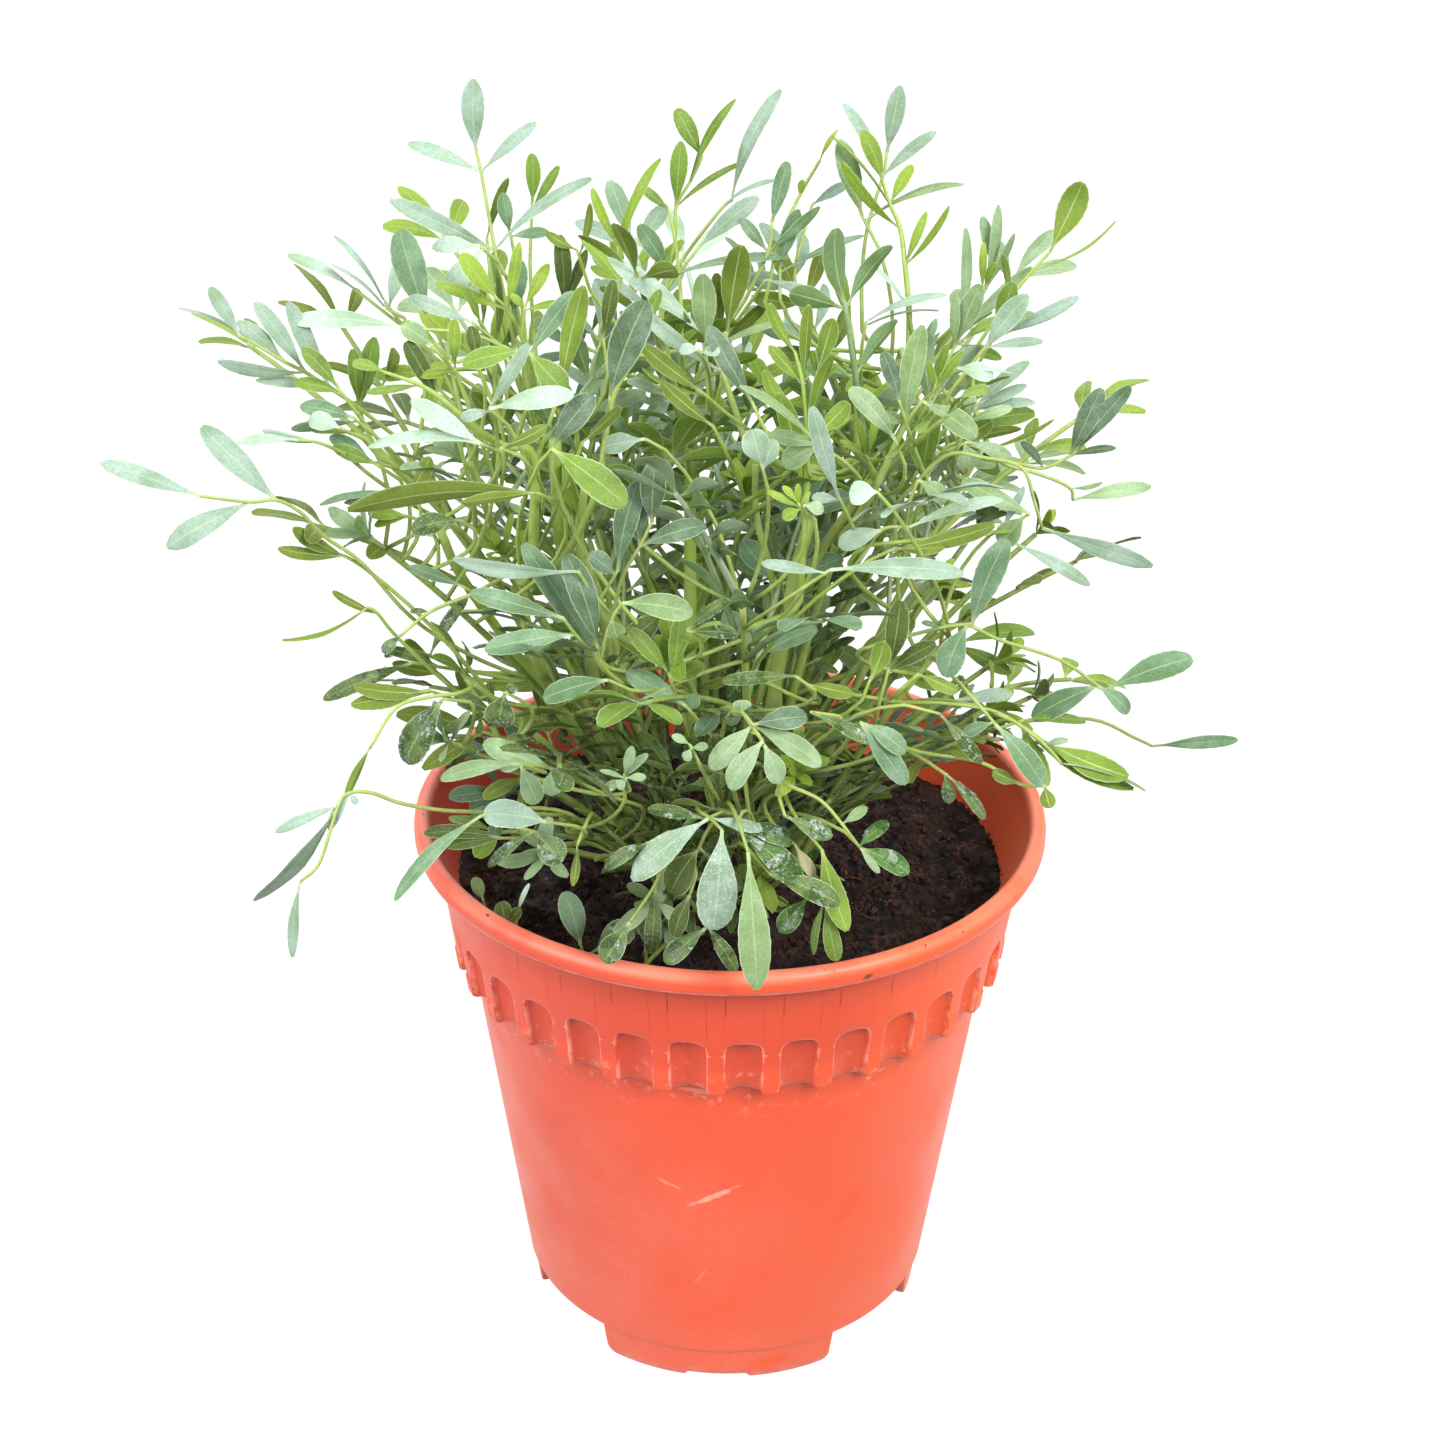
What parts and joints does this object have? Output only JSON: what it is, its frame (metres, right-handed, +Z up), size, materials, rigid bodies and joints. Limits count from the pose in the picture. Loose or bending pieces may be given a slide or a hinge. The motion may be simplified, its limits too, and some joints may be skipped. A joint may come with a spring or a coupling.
{
  "type": "potted rue",
  "caption": "Rue plant with divided blue-green leaves on branching stems, in soil in a round tapered orange plastic nursery pot with a fluted collar and low feet.",
  "frame": {"origin": "centre of the pot's base at the surface it stands on, which is the bottom centre of the whole box to within 2 mm", "axes": "+Z up along the pot's axis, -Y towards the side that the picture shows, +X to its right"},
  "size_m": [0.244, 0.1978, 0.3018],
  "materials": {
    "pot_plastic": "satin orange-red moulded plastic",
    "soil": "dark moist peat with fibres",
    "foliage": "glaucous blue-green leaf, pale green stalk"
  },
  "bodies": {
    "root": {"pot": "pot_plastic", "soil": "soil", "leafy_stem_upper_left": "foliage", "leafy_stem_left": "foliage", "leafy_stem_far_left": "foliage", "leafy_stem_front_left": "foliage", "leafy_stem_front": "foliage", "leafy_stem_middle_front": "foliage", "leafy_stem_centre": "foliage", "leafy_stem_centre_right": "foliage", "leafy_stem_upper_right": "foliage", "leafy_stem_right": "foliage", "leafy_stem_low_right": "foliage", "leafy_stem_far_right": "foliage", "leafy_stem_back_left": "foliage", "leafy_stem_back": "foliage", "leafy_stem_back_right": "foliage"}
  },
  "joints": []
}
